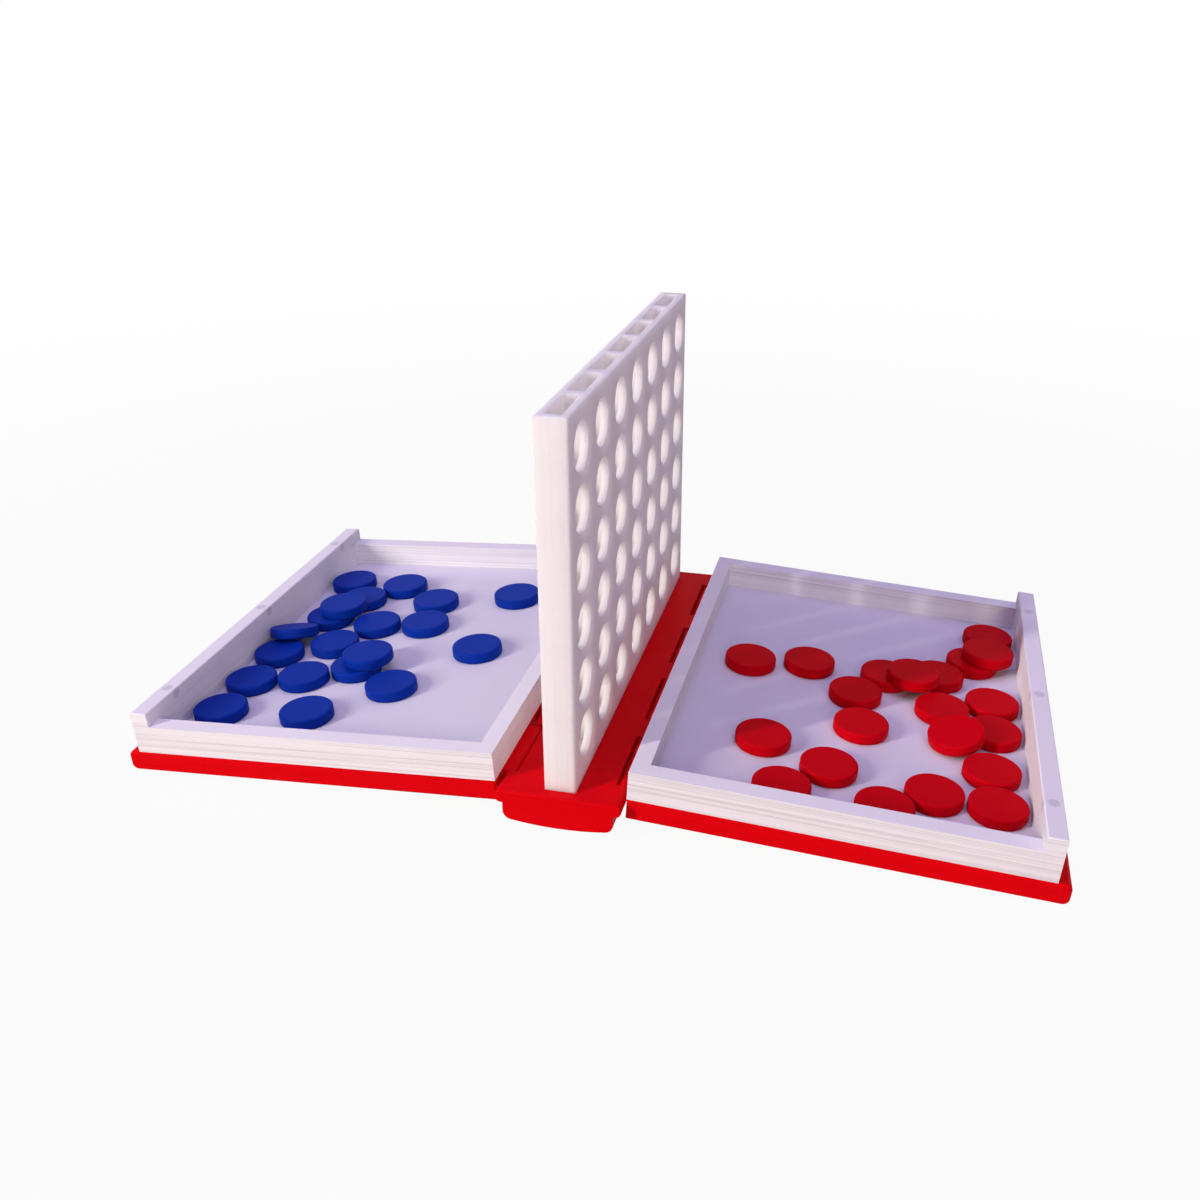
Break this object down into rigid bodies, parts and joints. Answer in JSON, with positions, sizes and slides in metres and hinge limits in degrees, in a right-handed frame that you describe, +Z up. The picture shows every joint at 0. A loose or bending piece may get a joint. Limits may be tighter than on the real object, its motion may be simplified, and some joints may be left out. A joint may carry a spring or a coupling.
{
  "type": "four-in-a-row game",
  "caption": "Folding four-in-a-row travel game: an upright windowed grid stands in a hinged spine, and trays of playing discs on both covers close against it like a book.",
  "frame": {"origin": "on the table under the middle of the grid, with both covers open", "axes": "+X across the spine towards the red discs' tray, +Y along the spine to its far end, +Z up"},
  "size_m": [0.3052, 0.175, 0.1352],
  "materials": {
    "white_plastic": "printed in layers, matte",
    "red_plastic": "printed in layers, matte",
    "blue_disc_plastic": "printed, matte with soft edges",
    "red_disc_plastic": "printed, matte with soft edges",
    "hinge_rod_plastic": "smooth drawn rod",
    "magnet_nickel": "nickel plated"
  },
  "bodies": {
    "root": {"grid": "white_plastic", "left_hinge_pin": "hinge_rod_plastic", "right_hinge_pin": "hinge_rod_plastic", "spine": "red_plastic"},
    "left_side": {"left_cover": "red_plastic", "left_magnet_1": "magnet_nickel", "left_magnet_2": "magnet_nickel", "left_magnet_3": "magnet_nickel", "left_tray": "white_plastic", "blue_disc_01": "blue_disc_plastic", "blue_disc_02": "blue_disc_plastic", "blue_disc_03": "blue_disc_plastic", "blue_disc_04": "blue_disc_plastic", "blue_disc_05": "blue_disc_plastic", "blue_disc_06": "blue_disc_plastic", "blue_disc_07": "blue_disc_plastic", "blue_disc_08": "blue_disc_plastic", "blue_disc_09": "blue_disc_plastic", "blue_disc_10": "blue_disc_plastic", "blue_disc_11": "blue_disc_plastic", "blue_disc_12": "blue_disc_plastic", "blue_disc_13": "blue_disc_plastic", "blue_disc_14": "blue_disc_plastic", "blue_disc_15": "blue_disc_plastic", "blue_disc_16": "blue_disc_plastic", "blue_disc_17": "blue_disc_plastic", "blue_disc_18": "blue_disc_plastic", "blue_disc_19": "blue_disc_plastic", "blue_disc_20": "blue_disc_plastic", "blue_disc_21": "blue_disc_plastic"},
    "right_side": {"right_cover": "red_plastic", "right_magnet_1": "magnet_nickel", "right_magnet_2": "magnet_nickel", "right_magnet_3": "magnet_nickel", "right_tray": "white_plastic", "red_disc_01": "red_disc_plastic", "red_disc_02": "red_disc_plastic", "red_disc_03": "red_disc_plastic", "red_disc_04": "red_disc_plastic", "red_disc_05": "red_disc_plastic", "red_disc_06": "red_disc_plastic", "red_disc_07": "red_disc_plastic", "red_disc_08": "red_disc_plastic", "red_disc_09": "red_disc_plastic", "red_disc_10": "red_disc_plastic", "red_disc_11": "red_disc_plastic", "red_disc_12": "red_disc_plastic", "red_disc_13": "red_disc_plastic", "red_disc_14": "red_disc_plastic", "red_disc_15": "red_disc_plastic", "red_disc_16": "red_disc_plastic", "red_disc_17": "red_disc_plastic", "red_disc_18": "red_disc_plastic", "red_disc_19": "red_disc_plastic", "red_disc_20": "red_disc_plastic", "red_disc_21": "red_disc_plastic"}
  },
  "joints": [
    {"name": "left_hinge", "type": "hinge", "parent": "root", "child": "left_side", "pos_m": [-0.0182, 0, 0.01304], "axis": [0, 1, 0], "range_deg": [0, 93.7]},
    {"name": "right_hinge", "type": "hinge", "parent": "root", "child": "right_side", "pos_m": [0.0182, 0, 0.01304], "axis": [0, -1, 0], "range_deg": [0, 93.7]}
  ]
}
